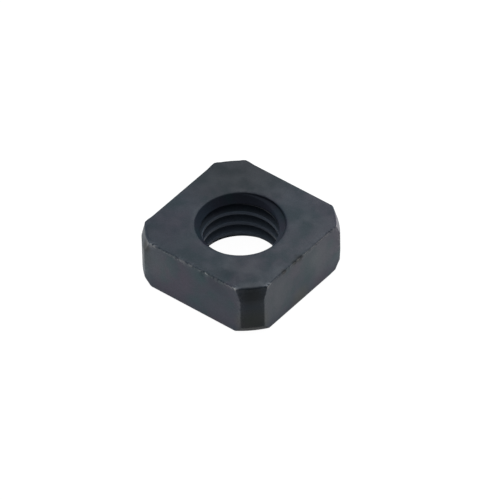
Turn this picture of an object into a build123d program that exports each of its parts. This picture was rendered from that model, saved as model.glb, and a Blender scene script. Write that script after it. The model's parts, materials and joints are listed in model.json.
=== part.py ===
"""Thin square nut, M10 by 1.5, with its corners turned round.

The nut lies flat on its lower face, and its bore stands along Z through the origin. Its sides face X and Y.
Lengths are in millimetres and angles in degrees.
"""

from build123d import *
from build123d.topology import SkipClean

import os
from math import ceil, radians, sqrt, tan

# Square blank
across_flats = 17.0
thickness = 6.4
edge_radius = 0.2

# Corners, turned to a round land about the bore, with a taper from the land in to each face
corner_cut = 1.22  # how far the land lies inside the square's sharp corner
upper_taper = 0.4
upper_taper_height = 1.45
lower_taper = 0.55
lower_taper_height = 1.0

# Right-hand thread of the basic metric form
thread_diameter = 10.0
thread_pitch = 1.5
flank_angle = 60.0
thread_start_angle = 27.0  # where the groove's centre line crosses the lower face, turned from +X

# Countersinks, one at each end of the bore
countersink_angle = 90.0
countersink_margin = 0.05  # how far each rim stands out past the thread's root

# The basic form leaves a flat of a quarter of the pitch at the crest, and of an eighth at the root
crest_flat = thread_pitch / 4
root_flat = thread_pitch / 8
flank_slope = tan(radians(flank_angle / 2))
groove_mouth = thread_pitch - crest_flat
thread_depth = (groove_mouth - root_flat) / 2 / flank_slope
root_radius = thread_diameter / 2
bore_radius = root_radius - thread_depth

# The cutter reaches into the open bore, where its turns still stand half a crest apart
cutter_width = groove_mouth + crest_flat / 2
cutter_radius = bore_radius - (cutter_width - groove_mouth) / 2 / flank_slope

corner_radius = across_flats / sqrt(2) - corner_cut
rim_radius = root_radius + countersink_margin
countersink_depth = (rim_radius - bore_radius) / tan(radians(countersink_angle / 2))

# A quarter of the bore, open to a countersink at each end
with BuildPart() as bore_quarter:
    with BuildSketch(Plane.XZ):
        with BuildLine():
            Polyline(
                (0, 0),
                (rim_radius, 0),
                (bore_radius, countersink_depth),
                (bore_radius, thickness - countersink_depth),
                (rim_radius, thickness),
                (0, thickness),
                close=True,
            )
        make_face()
    revolve(axis=Axis.Z, revolution_arc=90)

# One turn of the thread's groove, starting at +X
with BuildPart() as groove_turn:
    with BuildLine() as groove_path:
        Helix(thread_pitch, thread_pitch, bore_radius)
    with BuildSketch(Plane.XZ):
        with BuildLine():
            Polyline(
                (cutter_radius, -cutter_width / 2),
                (root_radius, -root_flat / 2),
                (root_radius, root_flat / 2),
                (cutter_radius, cutter_width / 2),
                close=True,
            )
        make_face()
    sweep(path=groove_path.line, is_frenet=True)

with BuildPart() as square_nut:
    # Square blank
    with BuildSketch():
        Rectangle(across_flats, across_flats)
    extrude(amount=thickness)

    # Corners turned down to one round profile about the bore
    with BuildSketch(Plane.XZ):
        with BuildLine():
            Polyline(
                (0, 0),
                (corner_radius - lower_taper, 0),
                (corner_radius, lower_taper_height),
                (corner_radius, thickness - upper_taper_height),
                (corner_radius - upper_taper, thickness),
                (0, thickness),
                close=True,
            )
        make_face()
    revolve(axis=Axis.Z, mode=Mode.INTERSECT)
    fillet(square_nut.edges(), radius=edge_radius)

    # Bore and thread, with the wall's quarters left as faces of their own
    with SkipClean():
        with PolarLocations(0, 4):
            add(bore_quarter.part, mode=Mode.SUBTRACT)
        turn_starts = [
            Location((0, 0, turn * thread_pitch), (0, 0, thread_start_angle))
            for turn in range(-1, ceil(thickness / thread_pitch) + 1)
        ]
        with Locations(turn_starts):
            add(groove_turn.part, mode=Mode.SUBTRACT)

square_nut.part.label = "square_nut"

os.makedirs("parts", exist_ok=True)
export_step(square_nut.part, "parts/square_nut.step")
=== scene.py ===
"""Dresses the square nut: blackened steel on a white sheet, under the soft light of a small studio.

The nut is modelled in millimetres and scaled to metres once its mesh is whole. Angles are in degrees.
"""

import json
import logging
from dataclasses import dataclass, field
from enum import Enum
from math import atan2, ceil, cos, exp, hypot, pi, radians, sin, sqrt, tan

import bmesh
import bpy
from mathutils import Matrix, Vector


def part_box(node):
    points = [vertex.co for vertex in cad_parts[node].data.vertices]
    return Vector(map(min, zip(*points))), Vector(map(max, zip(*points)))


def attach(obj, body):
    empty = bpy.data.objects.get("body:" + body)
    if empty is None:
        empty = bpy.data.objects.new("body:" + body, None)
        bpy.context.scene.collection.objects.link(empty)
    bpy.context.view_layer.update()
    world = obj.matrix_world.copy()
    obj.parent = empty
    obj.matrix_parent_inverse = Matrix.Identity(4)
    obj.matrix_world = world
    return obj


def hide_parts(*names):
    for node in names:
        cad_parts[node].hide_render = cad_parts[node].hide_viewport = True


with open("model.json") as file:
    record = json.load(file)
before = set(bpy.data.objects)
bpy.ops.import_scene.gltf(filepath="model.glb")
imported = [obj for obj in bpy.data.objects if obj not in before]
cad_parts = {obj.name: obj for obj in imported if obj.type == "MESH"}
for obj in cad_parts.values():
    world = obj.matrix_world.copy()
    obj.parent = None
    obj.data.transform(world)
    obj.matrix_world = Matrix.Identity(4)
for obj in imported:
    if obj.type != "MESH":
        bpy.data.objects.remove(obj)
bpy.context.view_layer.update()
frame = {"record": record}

METRES_PER_MILLIMETRE = 0.001
WARM = (1.0, 0.94, 0.86)

log = logging.getLogger("square_nut")


class Side(Enum):
    """The nut's four flats, each with the direction in which it faces."""

    RIGHT = (1, 0)
    BACK = (0, 1)
    LEFT = (-1, 0)
    FRONT = (0, -1)

    def normal(self) -> Vector:
        """Returns the outward direction of this flat."""
        return Vector((*self.value, 0))


@dataclass(frozen=True)
class Nick:
    """A dent in the nut's surface, deepest at its place.

    Attributes:
        place: Centre of the dent.
        reach: How far from the centre the metal is moved.
        push: Direction and depth of the dent at its centre.
    """

    place: tuple[float, float, float]
    reach: float
    push: tuple[float, float, float]

    def shift(self, point: Vector) -> Vector:
        """Finds how far this dent moves a point.

        Args:
            point: A point of the surface as it was.

        Returns:
            The move, which is nothing beyond the dent's reach.
        """
        share = (point - Vector(self.place)).length / self.reach
        if share >= 1:
            return Vector()
        return Vector(self.push) * (1 - share**2) ** 2


@dataclass(frozen=True)
class RubAndPaintedGlint:
    """A stretch of edge that shows the steel, both where the oxide is worn off and as painted highlight,
    strongest at its place.
    """

    place: tuple[float, float, float]
    reach: float
    strength: float

    def share(self, point: Vector) -> float:
        """Returns how strongly a point is marked."""
        gap = (point - Vector(self.place)).length / self.reach
        return self.strength * max(0, 1 - gap**2)


class Tone(Enum):
    """The tones of the patches: the oxide's own tones, painted light and painted shade."""

    # painted light
    PAINTED_LIGHT = (0.062, 0.068, 0.080)
    VIOLET = (0.036, 0.031, 0.050)
    TEAL = (0.014, 0.034, 0.042)
    OLIVE = (0.036, 0.038, 0.032)
    # painted shade
    PAINTED_SHADE = (0.006, 0.008, 0.010)


@dataclass(frozen=True)
class StainAndPaintedLight(RubAndPaintedGlint):
    """A soft patch of another tone, strongest at its place; some are the oxide's own tones, others painted light
    and painted shade.
    """

    tone: Tone


class Wiring:
    """Short calls that add nodes to a shader tree and link them."""

    def __init__(self, tree: bpy.types.NodeTree) -> None:
        """Starts from an empty tree."""
        self.tree = tree
        tree.nodes.clear()

    def link(self, source: object, target: bpy.types.NodeSocket) -> None:
        """Feeds a socket from another one, or sets it to a plain value."""
        if isinstance(source, bpy.types.NodeSocket):
            self.tree.links.new(source, target)
        else:
            target.default_value = source

    def node(self, kind: str, settings: dict[str, object] | None = None, **inputs: object) -> bpy.types.Node:
        """Adds a node.

        Args:
            kind: The node's type.
            settings: Properties of the node.
            **inputs: What feeds each input, named as on the node with _ for each space.

        Returns:
            The new node.
        """
        node = self.tree.nodes.new(kind)
        for name, value in (settings or {}).items():
            setattr(node, name, value)
        for name, value in inputs.items():
            self.link(value, node.inputs[name.replace("_", " ")])
        return node

    def maths(self, operation: str, *values: object, clamp: bool = False) -> bpy.types.NodeSocket:
        """Works out one number from others."""
        node = self.node("ShaderNodeMath", {"operation": operation, "use_clamp": clamp})
        for value, socket in zip(values, node.inputs):
            self.link(value, socket)
        return node.outputs[0]

    def span(
        self, value: object, low: float, high: float, to_low: float = 0, to_high: float = 1
    ) -> bpy.types.NodeSocket:
        """Maps a range smoothly to another one, and holds its ends."""
        node = self.node(
            "ShaderNodeMapRange",
            {"interpolation_type": "SMOOTHSTEP"},
            Value=value,
            From_Min=low,
            From_Max=high,
            To_Min=to_low,
            To_Max=to_high,
        )
        return node.outputs["Result"]

    def blend(self, share: object, first: object, second: object, mode: str = "MIX") -> bpy.types.NodeSocket:
        """Mixes two colours."""
        node = self.node("ShaderNodeMix", {"data_type": "RGBA", "blend_type": mode})
        colour_sockets = [socket for socket in node.inputs if socket.type == "RGBA"]
        self.link(share, node.inputs["Factor"])
        self.link(first, colour_sockets[0])
        self.link(second, colour_sockets[1])
        return next(socket for socket in node.outputs if socket.type == "RGBA")

    def noise(
        self, vector: object, grain: float, detail: float = 3, roughness: float = 0.5
    ) -> bpy.types.NodeSocket:
        """Adds a cloudy pattern.

        Args:
            vector: Where the pattern is read, in metres.
            grain: Size of its patches in millimetres.
            detail: How many finer layers it has.
            roughness: How strong the finer layers are.

        Returns:
            A value about 0.5, mostly between 0.3 and 0.7.
        """
        scale = 1 / (grain * METRES_PER_MILLIMETRE)
        node = self.node("ShaderNodeTexNoise", Vector=vector, Scale=scale, Detail=detail, Roughness=roughness)
        return node.outputs[0]


@dataclass(frozen=True)
class BlackOxide:
    """Oiled black oxide on steel: satin, mottled, and worn through to the steel in places, with painted
    highlights on edges and in the thread.

    Attributes:
        blue: The commonest tone.
        violet: The tone of the warmer patches.
        teal: The tone of the greener patches.
        bare_and_painted_glint: Steel where the oxide is worn off, which also paints highlights on the edges.
        dust_and_painted_light: The pale tone in the thread: dirt, with painted highlight on the crests and
            painted light in the grooves.
        reflection: Specular level, well under a bare metal's.
        tint: Colour of the reflections.
        roughness: Mean roughness.
        patch_size: Size of the patches of tone, in millimetres.
        cloud_size: Size of the clouds within them, in millimetres.
        grain_size: Size of the fine grain, in millimetres.
        streak_size: Width of the turning marks, in millimetres.
    """

    blue: tuple[float, float, float, float] = (0.022, 0.030, 0.044, 1)
    violet: tuple[float, float, float, float] = (0.029, 0.028, 0.044, 1)
    teal: tuple[float, float, float, float] = (0.018, 0.033, 0.043, 1)
    bare_and_painted_glint: tuple[float, float, float, float] = (0.42, 0.43, 0.45, 1)
    dust_and_painted_light: tuple[float, float, float, float] = (0.200, 0.235, 0.290, 1)
    reflection: float = 0.18
    tint: tuple[float, float, float, float] = (0.88, 0.95, 1.0, 1)
    roughness: float = 0.42
    patch_size: float = 4.5
    cloud_size: float = 1.8
    grain_size: float = 0.14
    streak_size: float = 0.12

    def material(self) -> bpy.types.Material:
        """Returns the finish as a material."""
        material = bpy.data.materials.new("black_oxide")
        material.use_nodes = True
        wiring = Wiring(material.node_tree)
        place = wiring.node("ShaderNodeTexCoord").outputs["Object"]
        shader = wiring.node(
            "ShaderNodeBsdfPrincipled",
            Base_Color=self.colour(wiring, place),
            Roughness=self.sheen(wiring, place),
            Normal=self.relief(wiring, place),
        )
        shader.inputs["Specular IOR Level"].default_value = self.reflection
        shader.inputs["Specular Tint"].default_value = self.tint
        wiring.node("ShaderNodeOutputMaterial", Surface=shader.outputs[0])
        return material

    def colour(self, wiring: Wiring, place: bpy.types.NodeSocket) -> bpy.types.NodeSocket:
        """Returns the mottled tones with the painted light and painted shade, the pale tone of dirt and painted
        highlight in the thread, and the worn steel that also paints highlights on the edges.
        """
        patches = wiring.noise(place, self.patch_size, 2)
        clouds = wiring.noise(place, self.cloud_size, 2)
        tone = wiring.blend(wiring.span(patches, 0.35, 0.6), self.violet, self.blue)
        tone = wiring.blend(wiring.span(clouds, 0.45, 0.7), tone, self.teal)
        # the patches of other tone, among them painted light and painted shade
        stain_and_painted_light = wiring.node("ShaderNodeAttribute", {"attribute_name": "stain_and_painted_light"}).outputs
        tone = wiring.blend(stain_and_painted_light["Alpha"], tone, stain_and_painted_light["Color"])
        # the thread's pale tone: dirt, with painted highlight on the crests and painted light in the grooves
        in_thread = wiring.node("ShaderNodeAttribute", {"attribute_name": "thread_dust_and_painted_light"}).outputs["Fac"]
        tone = wiring.blend(in_thread, tone, self.dust_and_painted_light)
        grain = wiring.noise(place, self.grain_size, 2)
        strength = wiring.span(grain, 0.3, 0.7, 0.88, 1.12)
        shaded = wiring.node("ShaderNodeVectorMath", {"operation": "SCALE"}, Vector=tone, Scale=strength)
        # worn steel, which also paints the highlights along the edges
        return wiring.blend(self.rubbed_and_painted_glint(wiring, place, stain_and_painted_light["Alpha"]), shaded.outputs[0], self.bare_and_painted_glint)

    def rubbed_and_painted_glint(
        self, wiring: Wiring, place: bpy.types.NodeSocket, stained_and_painted_light: bpy.types.NodeSocket
    ) -> bpy.types.NodeSocket:
        """Finds how much of the steel shows, in short dashes along the worn edges, where it also paints
        highlights.

        Args:
            wiring: The material's shader tree.
            place: Where the dashes are read.
            stained_and_painted_light: How far a tone patch, painted light or painted shade covers the steel.

        Returns:
            A share from 0 to 1.
        """
        wear_and_painted_light = wiring.node("ShaderNodeAttribute", {"attribute_name": "edge_wear_and_painted_highlight"}).outputs["Fac"]
        breaks = wiring.span(wiring.noise(place, 2 * self.grain_size, 2), 0.35, 0.6)
        uncovered = wiring.maths("SUBTRACT", 1.0, stained_and_painted_light)
        return wiring.maths("MULTIPLY", wiring.maths("MULTIPLY", wear_and_painted_light, breaks), uncovered, clamp=True)

    def sheen(self, wiring: Wiring, place: bpy.types.NodeSocket) -> bpy.types.NodeSocket:
        """Returns the roughness."""
        clouds = wiring.noise(place, self.cloud_size)
        return wiring.span(clouds, 0.3, 0.7, self.roughness - 0.06, self.roughness + 0.06)

    def relief(self, wiring: Wiring, place: bpy.types.NodeSocket) -> bpy.types.NodeSocket:
        """Returns the normal, with a fine grain and faint marks of turning round the bore."""
        split = wiring.node("ShaderNodeSeparateXYZ", Vector=place).outputs
        radius = wiring.node("ShaderNodeVectorMath", {"operation": "LENGTH"})
        flat = wiring.node("ShaderNodeCombineXYZ", X=split["X"], Y=split["Y"])
        wiring.link(flat.outputs[0], radius.inputs[0])
        angle = wiring.maths("ARCTAN2", split["Y"], split["X"])
        arc = wiring.maths("MULTIPLY", angle, 10 * self.streak_size * METRES_PER_MILLIMETRE)
        ring = wiring.node("ShaderNodeCombineXYZ", X=radius.outputs["Value"], Y=arc, Z=split["Z"])
        streaks = wiring.noise(ring.outputs[0], self.streak_size, 2)
        height = wiring.maths("ADD", wiring.noise(place, self.grain_size, 3), streaks)
        bump = wiring.node("ShaderNodeBump", Height=height, Strength=0.2)
        bump.inputs["Distance"].default_value = 0.01 * METRES_PER_MILLIMETRE
        return bump.outputs[0]


@dataclass(frozen=True)
class MetricThread:
    """The basic metric form of a right-hand thread, cut in a bore."""

    bore_radius: float
    pitch: float = 1.5
    flank_angle: float = 60.0
    start_angle: float = 27.0  # where the groove's centre line crosses the lower face, turned from +X

    @property
    def crest_flat(self) -> float:
        """Width of the flat between two grooves."""
        return self.pitch / 4

    @property
    def root_flat(self) -> float:
        """Width of the groove's floor."""
        return self.pitch / 8

    @property
    def root_radius(self) -> float:
        """Radius of the groove's floor."""
        flank_width = (self.pitch - self.crest_flat - self.root_flat) / 2
        return self.bore_radius + flank_width / tan(radians(self.flank_angle / 2))

    def profile(self) -> list[tuple[float, float]]:
        """Returns the corners of one groove's section, as radius and height from its middle."""
        mouth = self.pitch - self.crest_flat
        return [
            (self.bore_radius, -self.pitch / 2),
            (self.bore_radius, -mouth / 2),
            (self.root_radius, -self.root_flat / 2),
            (self.root_radius, self.root_flat / 2),
            (self.bore_radius, mouth / 2),
            (self.bore_radius, self.pitch / 2),
        ]


@dataclass
class SquareNut:
    """A thin square nut with turned corners and a threaded bore, countersunk at both ends."""

    across_flats: float
    thickness: float
    thread: MetricThread
    finish: BlackOxide = field(default_factory=BlackOxide)
    corner_cut: float = 1.22  # how far the land lies inside the square's sharp corner
    upper_taper: float = 0.4
    upper_taper_height: float = 1.45
    lower_taper: float = 0.55
    lower_taper_height: float = 1.0
    edge_radius: float = 0.2
    upright_offset: float = 0.07  # how far the upright edges are cut back on each side
    rim_margin: float = 0.05  # how far each countersink's rim stands out past the thread's root
    rim_round: float = 0.04
    steps: int = 184  # columns round the bore, of which one meets each corner's ends
    row_height: float = 0.045
    grid: float = 0.3
    seam: float = 0.002  # points nearer than this are one
    nicks: tuple[Nick, ...] = (
        Nick((-6.5, -8.2, 5.8), 0.9, (0.05, 0.10, -0.03)),
        Nick((8.5, -0.4, 6.4), 0.60, (-0.04, 0, -0.04)),
        Nick((8.5, -1.2, 6.4), 0.50, (-0.02, 0, -0.03)),
        Nick((8.5, -3.0, 6.4), 0.45, (-0.01, 0, -0.02)),
        Nick((1.7, -8.5, 6.1), 0.50, (0, 0.14, -0.06)),
        Nick((4.2, -8.5, 6.4), 2.4, (0, 0.10, -0.12)),
        Nick((8.5, 6.2, 0.9), 1.8, (-0.06, -0.05, 0.03)),
    )
    # Worn edges that are also painted highlights: the dashes on the front flat's top edge, the lines and dots at
    # the corners, and a faint line on the right flat's top edge.
    rubs_and_painted_glints: tuple[RubAndPaintedGlint, ...] = (
        RubAndPaintedGlint((-1.5, -8.5, 6.4), 1.0, 0.20),
        RubAndPaintedGlint((-0.1, -8.5, 6.4), 0.5, 0.22),
        RubAndPaintedGlint((1.4, -8.5, 6.4), 0.6, 0.17),
        RubAndPaintedGlint((3.2, -8.5, 6.4), 1.8, 0.08),
        RubAndPaintedGlint((-5.5, -8.4, 6.4), 0.8, 0.45),
        RubAndPaintedGlint((-7.3, -7.1, 6.4), 1.2, 0.20),
        # painted glints at both ends of the front corner's top edge, and a painted highlight along it
        RubAndPaintedGlint((5.9, -8.4, 6.4), 0.5, 0.65),
        RubAndPaintedGlint((8.4, -5.9, 6.4), 0.5, 1.2),
        RubAndPaintedGlint((7.2, -7.2, 6.4), 1.9, 0.40),
        # painted highlight along the right flat's top edge, and a faint painted glint at the right corner
        RubAndPaintedGlint((8.5, 2.5, 6.4), 6.0, 0.10),
        RubAndPaintedGlint((8.4, 5.9, 6.4), 0.5, 0.05),
    )
    # also a faint painted highlight along every outer edge
    general_wear_and_painted_highlight: float = 0.09
    untoned_depth: float = 0.8  # how far in from each face the thread has none of its pale tone of dirt and painted highlight
    # the crest's pale tone is dirt and painted highlight, the groove's dirt and painted light
    crest_dust_and_painted_highlight: float = 3.0
    groove_dust_and_painted_light: float = 0.8
    # The violet, teal and olive patches are tones of the oxide; the pale ones are painted light and the dark ones
    # painted shade.
    stains_and_painted_light: tuple[StainAndPaintedLight, ...] = (
        # painted shade on the back and near the front corner of the top face, and a painted highlight on its
        # right
        StainAndPaintedLight((-5.5, 6.5, 6.4), 7.2, 0.76, Tone.PAINTED_SHADE),
        StainAndPaintedLight((7.2, 1.0, 6.4), 3.8, 0.36, Tone.PAINTED_LIGHT),
        StainAndPaintedLight((5.2, -5.6, 6.4), 2.6, 0.16, Tone.PAINTED_SHADE),
        StainAndPaintedLight((-5.5, -5.1, 6.4), 3.0, 0.50, Tone.VIOLET),
        StainAndPaintedLight((-3.4, -5.4, 6.4), 1.8, 0.40, Tone.TEAL),
        StainAndPaintedLight((5.6, 4.7, 6.4), 2.2, 0.45, Tone.TEAL),
        StainAndPaintedLight((2.8, -6.4, 6.4), 1.6, 0.40, Tone.TEAL),
        # painted light on the left end of the front flat
        StainAndPaintedLight((-4.9, -8.5, 4.0), 2.8, 0.35, Tone.PAINTED_LIGHT),
        StainAndPaintedLight((1.0, -8.5, 5.2), 1.5, 0.60, Tone.TEAL),
        StainAndPaintedLight((-1.0, -8.5, 3.5), 2.2, 0.45, Tone.VIOLET),
        StainAndPaintedLight((4.1, -8.5, 1.9), 2.4, 0.35, Tone.VIOLET),
        StainAndPaintedLight((8.5, -0.5, 0.7), 1.7, 0.60, Tone.OLIVE),
        # painted light on the right flat
        StainAndPaintedLight((8.5, 3.4, 3.6), 2.6, 0.42, Tone.PAINTED_LIGHT),
        StainAndPaintedLight((8.5, -4.6, 3.8), 3.6, 0.50, Tone.PAINTED_LIGHT),
        StainAndPaintedLight((8.5, 1.7, 4.3), 1.6, 0.35, Tone.TEAL),
        # painted shade in the dents on the right flat's top edge and in the dent near the left corner
        StainAndPaintedLight((8.4, -0.4, 6.3), 0.60, 1.2, Tone.PAINTED_SHADE),
        StainAndPaintedLight((8.4, -1.3, 6.3), 0.50, 1.0, Tone.PAINTED_SHADE),
        StainAndPaintedLight((8.4, -3.1, 6.3), 0.50, 1.0, Tone.PAINTED_SHADE),
        StainAndPaintedLight((-6.4, -8.3, 5.6), 0.8, 1.2, Tone.PAINTED_SHADE),
        # painted shade on the left corner's facet and on the upper part of the front corner's facet
        StainAndPaintedLight((-7.7, -7.5, 4.2), 2.6, 0.62, Tone.PAINTED_SHADE),
        StainAndPaintedLight((7.7, -7.7, 5.5), 1.6, 1.0, Tone.PAINTED_SHADE),
        # painted highlight along the front corner's top edge
        StainAndPaintedLight((6.4, -7.6, 6.4), 0.7, 0.80, Tone.PAINTED_LIGHT),
        StainAndPaintedLight((7.0, -7.0, 6.4), 0.7, 0.80, Tone.PAINTED_LIGHT),
        StainAndPaintedLight((7.6, -6.4, 6.4), 0.7, 0.80, Tone.PAINTED_LIGHT),
        StainAndPaintedLight((7.6, -7.6, 1.8), 2.2, 0.80, Tone.OLIVE),
    )

    @classmethod
    def from_frame(cls) -> "SquareNut":
        """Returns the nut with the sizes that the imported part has."""
        low, high = (Vector(corner) / METRES_PER_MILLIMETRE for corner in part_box("square_nut"))
        mount = next(m for m in frame["record"]["mounts"] if m["name"] == "thread")
        thread = MetricThread(bore_radius=mount["dims"]["r_mm"])
        return cls(across_flats=high.x - low.x, thickness=high.z - low.z, thread=thread)

    @property
    def corner_radius(self) -> float:
        """Radius of the turned corners."""
        return self.across_flats / sqrt(2) - self.corner_cut

    @property
    def rim_radius(self) -> float:
        """Radius of each countersink at the nut's face."""
        return self.thread.root_radius + self.rim_margin

    def build(self) -> bpy.types.Object:
        """Returns the finished piece, in place of the plain solid."""
        shape = bmesh.new()
        self.turn_blank(shape)
        self.mill_flats(shape)
        self.break_edges(shape)
        self.cut_grid(shape)
        self.cut_thread(shape)
        self.wear_and_painted_light(shape)
        bmesh.ops.recalc_face_normals(shape, faces=shape.faces)
        bmesh.ops.scale(shape, vec=Vector.Fill(3, METRES_PER_MILLIMETRE), verts=shape.verts)
        mesh = bpy.data.meshes.new("square_nut_body")
        shape.to_mesh(mesh)
        shape.free()
        mesh.shade_smooth()
        mesh.materials.append(self.finish.material())
        piece = bpy.data.objects.new("square_nut_body", mesh)
        bpy.context.scene.collection.objects.link(piece)
        shading = piece.modifiers.new("shading", "WEIGHTED_NORMAL")
        shading.weight = 100
        shading.keep_sharp = True
        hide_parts("square_nut")
        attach(piece, "root")
        return piece

    def turn_blank(self, shape: bmesh.types.BMesh) -> None:
        """Turns the blank's outside, open at the bore."""
        corner = self.corner_radius
        outline = [
            (self.rim_radius + self.rim_round, 0),
            (self.rim_radius + 0.5, 0),
            (corner - self.lower_taper, 0),
            (corner, self.lower_taper_height),
            (corner, self.thickness - self.upper_taper_height),
            (corner - self.upper_taper, self.thickness),
            (self.rim_radius + 0.5, self.thickness),
            (self.rim_radius + self.rim_round, self.thickness),
        ]
        self.spin(shape, outline, 0)

    def spin(self, shape: bmesh.types.BMesh, outline: list[tuple[float, float]], rise: float) -> None:
        """Sweeps an outline one turn round the bore's axis.

        Args:
            shape: Receives the surface.
            outline: Radius and height of each corner.
            rise: How far the outline climbs in the turn.
        """
        corners = [shape.verts.new((radius, 0, height)) for radius, height in outline]
        edges = [shape.edges.new(pair) for pair in zip(corners, corners[1:])]
        bmesh.ops.spin(
            shape,
            geom=corners + edges,
            cent=(0, 0, 0),
            axis=(0, 0, 1),
            dvec=(0, 0, rise / self.steps),
            angle=2 * pi,
            steps=self.steps,
            use_merge=rise == 0,
        )

    def mill_flats(self, shape: bmesh.types.BMesh) -> None:
        """Cuts the four flats and closes them."""
        for side in Side:
            cut = bmesh.ops.bisect_plane(
                shape,
                geom=[*shape.verts, *shape.edges, *shape.faces],
                dist=self.seam,
                plane_co=side.normal() * self.across_flats / 2,
                plane_no=side.normal(),
                clear_outer=True,
            )
            rim = [item for item in cut["geom_cut"] if isinstance(item, bmesh.types.BMEdge)]
            bmesh.ops.edgeloop_fill(shape, edges=rim)
        bmesh.ops.remove_doubles(shape, verts=shape.verts, dist=10 * self.seam)

    def break_edges(self, shape: bmesh.types.BMesh) -> None:
        """Rounds the upright edges first, and then the edges of both faces."""
        sharpest_curve = radians(8)
        sharp = [e for e in shape.edges if e.is_manifold and e.calc_face_angle() > sharpest_curve]
        upright = [e for e in sharp if not self.on_face(e)]
        self.bevel(shape, upright, self.upright_offset, 3)
        sharp = [e for e in shape.edges if e.is_manifold and e.calc_face_angle() > radians(45)]
        self.bevel(shape, [e for e in sharp if self.on_face(e)], self.edge_radius, 4)

    def on_face(self, edge: bmesh.types.BMEdge) -> bool:
        """Tells whether an edge lies in the nut's upper or lower face."""
        heights = {round(vert.co.z / self.thickness, 4) for vert in edge.verts}
        return heights == {0} or heights == {1}

    def bevel(
        self, shape: bmesh.types.BMesh, edges: list[bmesh.types.BMEdge], offset: float, segments: int
    ) -> None:
        """Rounds edges."""
        bmesh.ops.bevel(
            shape,
            geom=edges,
            offset=offset,
            offset_type="OFFSET",
            affect="EDGES",
            segments=segments,
            profile=0.5,
            material=-1,
            clamp_overlap=False,
        )

    def cut_grid(self, shape: bmesh.types.BMesh) -> None:
        """Divides the outside finely enough to take dents."""
        half = self.across_flats / 2
        count = ceil(half / self.grid)
        inner = self.rim_radius + 0.5 - self.seam
        for axis in (Vector((1, 0, 0)), Vector((0, 1, 0))):
            for number in range(1 - count, count):
                self.cut(shape, axis * number * half / count, axis, inner)
        up = Vector((0, 0, 1))
        rows = ceil(self.thickness / self.grid)
        for number in range(1, rows):
            self.cut(shape, up * number * self.thickness / rows, up, inner)

    def cut(self, shape: bmesh.types.BMesh, place: Vector, direction: Vector, inner: float) -> None:
        """Divides the faces outside a radius along a plane."""
        faces = [f for f in shape.faces if hypot(*f.calc_center_median().xy) > inner]
        geometry = {item for f in faces for item in (f, *f.edges, *f.verts)}
        bmesh.ops.bisect_plane(shape, geom=list(geometry), dist=self.seam, plane_co=place, plane_no=direction)

    def cut_thread(self, shape: bmesh.types.BMesh) -> None:
        """Cuts the thread and both countersinks, and joins them to the faces."""
        bore = bmesh.new()
        self.spin(bore, self.thread_outline(), self.thread.pitch)
        turn = [*bore.verts, *bore.edges, *bore.faces]
        for number in range(ceil(self.thickness / self.thread.pitch) + 2):
            copy = bmesh.ops.duplicate(bore, geom=turn)["geom"]
            points = [item for item in copy if isinstance(item, bmesh.types.BMVert)]
            bmesh.ops.translate(bore, vec=(0, 0, number * self.thread.pitch), verts=points)
        bmesh.ops.delete(bore, geom=turn, context="VERTS")
        for vert in bore.verts:
            self.seat(vert)
        bmesh.ops.remove_doubles(bore, verts=bore.verts, dist=self.seam)
        inside = [vert for vert in bore.verts if not vert.is_boundary]
        bmesh.ops.smooth_vert(
            bore, verts=inside, factor=0.5, use_axis_x=True, use_axis_y=True, use_axis_z=True
        )
        for vert in shape.verts:
            if vert.is_boundary:
                self.seat(vert)
        mesh = bpy.data.meshes.new("bore")
        bore.to_mesh(mesh)
        bore.free()
        shape.from_mesh(mesh)
        bpy.data.meshes.remove(mesh)
        bmesh.ops.remove_doubles(shape, verts=shape.verts, dist=self.seam)

    def thread_outline(self) -> list[tuple[float, float]]:
        """Returns one pitch of the thread's section in rows, a turn under the lower face at +X."""
        thread = self.thread
        lowest = -thread.pitch * (1 + thread.start_angle / 360)
        corners = thread.profile()
        outline = [(corners[0][0], corners[0][1] + lowest)]
        for (r1, z1), (r2, z2) in zip(corners, corners[1:]):
            rows = round(hypot(r2 - r1, z2 - z1) / self.row_height)
            for row in range(1, rows + 1):
                share = row / rows
                outline.append((r1 + (r2 - r1) * share, z1 + (z2 - z1) * share + lowest))
        return outline

    def seat(self, vert: bmesh.types.BMVert) -> None:
        """Moves a point of the bore to its column, and out to the countersinks."""
        column = 2 * pi / self.steps
        angle = round(atan2(vert.co.y, vert.co.x) / column) * column
        near = self.row_height / 3
        radius = hypot(*vert.co.xy)
        height = vert.co.z
        if height < near or height > self.thickness - near:
            height = 0 if height < near else self.thickness
            radius = self.rim_radius + self.rim_round
        else:
            depth = min(height, self.thickness - height)
            radius = max(radius, self.rim_radius - depth)
        vert.co = Vector((radius * cos(angle), radius * sin(angle), height))

    def wear_and_painted_light(self, shape: bmesh.types.BMesh) -> None:
        """Dents the outside, and notes the worn edges with their painted highlights, the thread's dirt with its
        painted highlight, and the patches of tone, painted light and painted shade.
        """
        wear_and_painted_light = shape.verts.layers.float.new("edge_wear_and_painted_highlight")
        dust_and_painted_light = shape.verts.layers.float.new("thread_dust_and_painted_light")
        stained_and_painted_light = shape.verts.layers.float_color.new("stain_and_painted_light")
        for vert in shape.verts:
            # worn edges, with their painted highlights
            rubbed_and_painted_glint = self.general_wear_and_painted_highlight + sum(rub_and_painted_glint.share(vert.co) for rub_and_painted_glint in self.rubs_and_painted_glints)
            vert[wear_and_painted_light] = min(rubbed_and_painted_glint, 1) * exp(-self.edge_distance(vert.co) / self.edge_radius)
            # the thread's dirt with its painted highlight, and the patches with their painted light and painted
            # shade
            vert[dust_and_painted_light] = self.dust_and_painted_light(vert.co)
            vert[stained_and_painted_light] = self.stain_and_painted_light(vert.co)
        for vert in shape.verts:
            vert.co += sum((nick.shift(vert.co) for nick in self.nicks), Vector())

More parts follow.
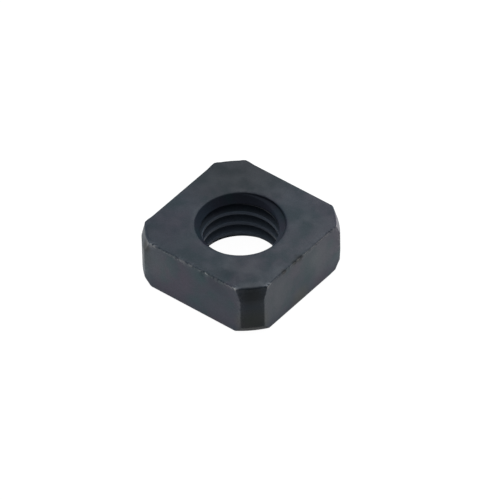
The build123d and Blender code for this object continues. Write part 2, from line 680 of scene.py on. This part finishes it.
    def stain_and_painted_light(self, point: Vector) -> Vector:
        """Returns the tone of the patches, painted light and painted shade at a point, with their strength as its
        fourth value.
        """
        shares = [stain_and_painted_light.share(point) for stain_and_painted_light in self.stains_and_painted_light]
        strength = sum(shares)
        if strength == 0:
            return Vector((0, 0, 0, 0))
        tone = sum((Vector(stain_and_painted_light.tone.value) * share for stain_and_painted_light, share in zip(self.stains_and_painted_light, shares)), Vector())
        return Vector((*(tone / strength), min(strength, 1)))

    def dust_and_painted_light(self, point: Vector) -> float:
        """Finds how much pale tone a point takes, as dirt and painted highlight: most on the thread's crest, less
        in its groove, and not at all outside.
        """
        radius = hypot(*point.xy)
        depth = self.thickness - point.z
        cone = self.rim_radius - min(point.z, depth)
        if radius >= self.rim_radius or radius <= cone + self.row_height:
            return 0.0
        depth_share = max(depth - self.untoned_depth, 0) / (self.thickness - 2 * self.untoned_depth)
        crest = radius < self.thread.bore_radius + self.row_height
        share = self.crest_dust_and_painted_highlight if crest else self.groove_dust_and_painted_light
        return min(share * depth_share, 1) * min(point.z / self.untoned_depth, 1)

    def edge_distance(self, point: Vector) -> float:
        """Finds how far a point of the surface lies from the nearest outer edge."""
        radius = hypot(*point.xy)
        gaps = sorted(
            (
                self.across_flats / 2 - max(abs(point.x), abs(point.y)),
                self.thickness - point.z,
                point.z,
                self.corner_radius - radius,
            )
        )
        return max(gaps[1], 0)


@dataclass(frozen=True)
class Softbox:
    """A rectangular area lamp that faces the nut.

    Attributes:
        name: The lamp's name.
        azimuth: Where it stands, turned from the -Y side towards +X.
        elevation: How high it stands above the floor.
        distance: How far it is from the nut, in metres.
        size: Its width and height, in metres.
        radiance: How bright its face is, where 1 is white.
        tint: Colour of its light.
    """

    name: str
    azimuth: float
    elevation: float
    distance: float
    size: tuple[float, float]
    radiance: float
    tint: tuple[float, float, float] = (1.0, 1.0, 1.0)

    def build(self) -> bpy.types.Object:
        """Returns the lamp, in its place."""
        width, height = self.size
        data = bpy.data.lights.new(self.name, "AREA")
        data.shape = "RECTANGLE"
        data.size = width
        data.size_y = height
        data.energy = self.radiance * pi * width * height
        data.color = self.tint
        lamp = bpy.data.objects.new(self.name, data)
        away = direction(self.azimuth, self.elevation)
        lamp.location = away * self.distance
        lamp.rotation_euler = away.to_track_quat("Z", "Y").to_euler()
        bpy.context.scene.collection.objects.link(lamp)
        return lamp


@dataclass(frozen=True)
class CameraView:
    """The viewpoint of the photograph.

    Attributes:
        azimuth: Where the camera stands, turned from the -Y side towards +X.
        elevation: How high it stands.
        roll: How far it is turned about its own axis.
        distance: How far it stands from its target, in millimetres.
        scale: Pixels to a millimetre at the nut.
        centre: Pixel at which the middle of the nut shows.
        frame_width: Pixels across the picture.
    """

    azimuth: float = 39.31
    elevation: float = 42.60
    roll: float = -1.26
    distance: float = 800.0
    scale: float = 9.19
    centre: tuple[float, float] = (241.1, 245.5)
    frame_width: int = 500
    sensor_width: float = 36.0

    def build(self, middle: Vector) -> bpy.types.Object:
        """Places the camera.

        Args:
            middle: Centre of the nut, in millimetres.

        Returns:
            The scene's camera.
        """
        back = direction(self.azimuth, self.elevation)
        right = Vector((cos(radians(self.azimuth)), sin(radians(self.azimuth)), 0))
        up = back.cross(right)
        roll = radians(self.roll)
        right, up = right * cos(roll) + up * sin(roll), up * cos(roll) - right * sin(roll)
        half = self.frame_width / 2
        target = middle + right * (half - self.centre[0]) / self.scale + up * (self.centre[1] - half) / self.scale
        data = bpy.data.cameras.new("camera")
        data.sensor_width = self.sensor_width
        data.sensor_fit = "HORIZONTAL"
        data.lens = self.scale * self.distance / self.frame_width * self.sensor_width
        data.clip_start = 0.01
        data.clip_end = 100
        camera = bpy.data.objects.new("camera", data)
        place = (target + back * self.distance) * METRES_PER_MILLIMETRE
        turn = Matrix((right, up, back)).transposed().to_4x4()
        camera.matrix_world = Matrix.Translation(place) @ turn
        bpy.context.scene.collection.objects.link(camera)
        bpy.context.scene.camera = camera
        return camera


@dataclass
class Studio:
    """A white sheet under soft lamps, in a room whose light comes from behind the nut."""

    view: CameraView = field(default_factory=CameraView)
    floor_size: float = 0.3
    floor_white: float = 0.975  # share of the sheet's brightness that no shadow reaches
    floor_grey: float = 0.12
    shade: tuple[float, float] = (8.3, 9.8)  # where the painted shade of the nut on the sheet's reflections starts and ends
    shade_level: float = 0.5
    corner_reach: float = 2.3  # how much further out the nut's corners lie than its flats
    fade: tuple[float, float] = (20.0, 45.0)  # where the sheet's far part grows dim in the nut's reflections, a painted dimming
    fade_level: float = 0.55
    room_dark: float = 0.18
    room_bright: float = 0.96
    room_tint: tuple[float, float, float, float] = (0.86, 0.93, 1.0, 1)
    wall_height: float = 50.0  # elevation of the room's brightest part
    softboxes: tuple[Softbox, ...] = (
        Softbox("back_softbox", 213, 52, 0.075, (0.03, 0.03), 4.6),
        Softbox("left_strip", -47, 1.9, 0.12, (0.04, 0.006), 220.0, WARM),
        Softbox("right_strip", 153, 1.9, 0.12, (0.04, 0.006), 325.0, WARM),
        Softbox("front_strip", 47, 1.9, 0.12, (0.04, 0.006), 12.0, WARM),
    )

    def build(self, middle: Vector) -> None:
        """Sets up the camera, the sheet, the lamps and the room."""
        bpy.context.scene.view_settings.view_transform = "Standard"
        self.view.build(middle)
        self.sheet()
        for softbox in self.softboxes:
            softbox.build()
            log.info("%s: built", softbox.name)
        self.room()

    def seen(self, wiring: Wiring) -> bpy.types.NodeSocket:
        """Returns how brightly the sheet shows, which is 0 for the rays that carry light."""
        path = wiring.node("ShaderNodeLightPath").outputs
        mirrored = wiring.maths("MULTIPLY", path["Is Glossy Ray"], self.mirrored(wiring))
        shown = wiring.maths("ADD", path["Is Camera Ray"], mirrored)
        return wiring.maths("ADD", shown, path["Is Transmission Ray"], clamp=True)

    def mirrored(self, wiring: Wiring) -> bpy.types.NodeSocket:
        """Returns how bright the nut sees the sheet, with a painted shade near the nut and a painted dimming far
        off.
        """
        place = wiring.node("ShaderNodeTexCoord").outputs["Object"]
        split = wiring.node("ShaderNodeSeparateXYZ", Vector=place).outputs
        sideways = [wiring.maths("ABSOLUTE", split[axis]) for axis in ("X", "Y")]
        radius = wiring.node("ShaderNodeVectorMath", {"operation": "LENGTH"})
        wiring.link(place, radius.inputs[0])
        corner = self.corner_reach * METRES_PER_MILLIMETRE
        turned = wiring.maths("SUBTRACT", radius.outputs["Value"], corner)
        outline = wiring.maths("MAXIMUM", wiring.maths("MAXIMUM", *sideways), turned)
        start, end = (length * METRES_PER_MILLIMETRE for length in self.shade)
        near = wiring.span(outline, start, end, self.shade_level, 1)
        start, end = (length * METRES_PER_MILLIMETRE for length in self.fade)
        far = wiring.span(outline, start, end, 1, self.fade_level)
        return wiring.maths("MULTIPLY", near, far)

    def sheet(self) -> bpy.types.Object:
        """Returns the white sheet that the nut lies on."""
        shape = bmesh.new()
        bmesh.ops.create_grid(shape, x_segments=1, y_segments=1, size=self.floor_size / 2)
        bmesh.ops.translate(shape, vec=(0, 0, -1e-5), verts=shape.verts)
        mesh = bpy.data.meshes.new("sheet")
        shape.to_mesh(mesh)
        shape.free()
        material = bpy.data.materials.new("sheet")
        material.use_nodes = True
        wiring = Wiring(material.node_tree)
        grey = (self.floor_grey, self.floor_grey, self.floor_grey, 1)
        paper = wiring.node("ShaderNodeBsdfDiffuse", Color=grey)
        strength = wiring.maths("MULTIPLY", self.seen(wiring), self.floor_white)
        glow = wiring.node("ShaderNodeEmission", Strength=strength)
        both = wiring.node("ShaderNodeAddShader")
        wiring.link(paper.outputs[0], both.inputs[0])
        wiring.link(glow.outputs[0], both.inputs[1])
        wiring.node("ShaderNodeOutputMaterial", Surface=both.outputs[0])
        mesh.materials.append(material)
        sheet = bpy.data.objects.new("sheet", mesh)
        bpy.context.scene.collection.objects.link(sheet)
        return sheet

    def room(self) -> None:
        """Lights the room's wall behind the nut, leaves the rest dark, and shows it white."""
        world = bpy.data.worlds.new("room")
        world.use_nodes = True
        bpy.context.scene.world = world
        wiring = Wiring(world.node_tree)
        towards = wiring.node("ShaderNodeTexCoord").outputs["Generated"]
        wall = direction(self.view.azimuth + 180, self.wall_height)
        facing = wiring.node("ShaderNodeVectorMath", {"operation": "DOT_PRODUCT"})
        wiring.link(towards, facing.inputs[0])
        wiring.link(wall, facing.inputs[1])
        strength = wiring.span(facing.outputs["Value"], 0.4, 0.9, self.room_dark, self.room_bright)
        path = wiring.node("ShaderNodeLightPath").outputs
        shown = wiring.node("ShaderNodeMix", {"data_type": "FLOAT"}, Factor=path["Is Camera Ray"])
        wiring.link(strength, shown.inputs[2])
        wiring.link(1.0, shown.inputs[3])
        tint = wiring.blend(path["Is Camera Ray"], self.room_tint, (1, 1, 1, 1))
        light = wiring.node("ShaderNodeBackground", Color=tint, Strength=shown.outputs[0])
        wiring.node("ShaderNodeOutputWorld", Surface=light.outputs[0])


def direction(azimuth: float, elevation: float) -> Vector:
    """Returns the direction of a place seen from the nut, turned from the -Y side towards +X."""
    flat = cos(radians(elevation))
    return Vector((sin(radians(azimuth)) * flat, -cos(radians(azimuth)) * flat, sin(radians(elevation))))


def main() -> None:
    """Builds the nut and its studio."""
    logging.basicConfig(level=logging.INFO, format="%(message)s")
    nut = SquareNut.from_frame()
    piece = nut.build()
    log.info("%s: %d faces", piece.name, len(piece.data.polygons))
    Studio().build(Vector((0, 0, nut.thickness / 2)))


if __name__ == "__main__":
    main()
